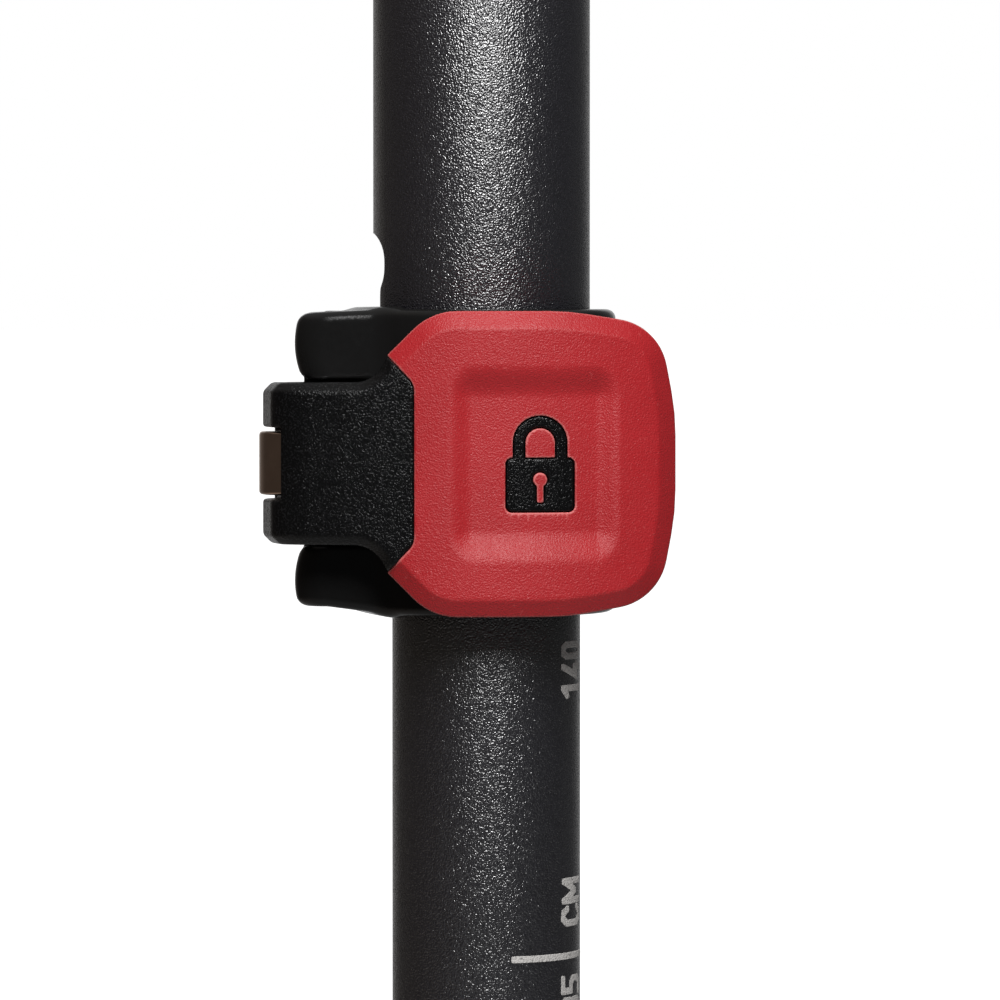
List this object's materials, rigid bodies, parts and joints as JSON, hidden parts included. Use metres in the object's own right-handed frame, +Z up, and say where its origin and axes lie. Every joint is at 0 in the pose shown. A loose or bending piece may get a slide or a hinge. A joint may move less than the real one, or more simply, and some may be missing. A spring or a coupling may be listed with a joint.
{
  "type": "telescoping pole lever clamp",
  "caption": "Flip-lever clamp of a telescoping trekking pole: split collar, cam lever with a thumb pad, swing bolt and nut, and the two tube ends it joins.",
  "frame": {"origin": "On the upper tube's axis, at the clamp collar's mid height.", "axes": "+Z runs up the tubes to the grip end, -Y is the front with the thumb pad, and -X is the side with the split, the cam and the swing bolt."},
  "size_m": [0.0307, 0.0246, 0.0933],
  "materials": {
    "tube_coating": "aluminium tube with a fine black wrinkle powder coat",
    "black_nylon": "moulded glass-filled nylon, satin",
    "grained_black_nylon": "moulded nylon with a fine spark-eroded grain",
    "red_nylon": "moulded over the lever, satin, slightly scuffed",
    "grey_nylon": "moulded",
    "natural_nylon": "uncoloured nylon",
    "bright_steel": "zinc plated",
    "browned_steel": "dark browned, lightly rubbed"
  },
  "bodies": {
    "clamp": {"upper_tube": "tube_coating", "clamp_collar": "black_nylon", "wear_plate": "bright_steel"},
    "draw_bolt": {"swing_bolt": "browned_steel", "nut_washer": "bright_steel"},
    "lever": {"lever_body": "grained_black_nylon", "lever_pad": "red_nylon", "pivot_pin": "bright_steel"},
    "nut": {"tension_nut": "bright_steel", "nut_lock_ring": "natural_nylon"},
    "guide": {"guide_ring": "natural_nylon"},
    "lower_section": {"lower_tube": "tube_coating", "tube_plug": "grey_nylon"}
  },
  "joints": [
    {"name": "bolt_draw", "type": "slide", "parent": "clamp", "child": "draw_bolt", "axis": [0, 1, 0], "range_m": [0, 0.0006]},
    {"name": "lever_swing", "type": "hinge", "parent": "draw_bolt", "child": "lever", "pos_m": [-0.01285, -0.00774, 0], "axis": [0, 0, -1], "range_deg": [0, 100]},
    {"name": "nut_turn", "type": "hinge", "parent": "draw_bolt", "child": "nut", "pos_m": [-0.01285, 0.00658, 0], "axis": [0, 1, 0], "range_deg": [-90, 180]},
    {"name": "lower_slide", "type": "slide", "parent": "clamp", "child": "guide", "axis": [0, 0, 1], "range_m": [-0.009, 0.0175]},
    {"name": "lower_turn", "type": "hinge", "parent": "guide", "child": "lower_section", "pos_m": [0.00035, 0, 0], "axis": [0, 0, 1], "continuous": true}
  ],
  "couplings": [
    {"joint": "lever_swing", "follows": "bolt_draw", "rad_per_m": 2908.8}
  ]
}
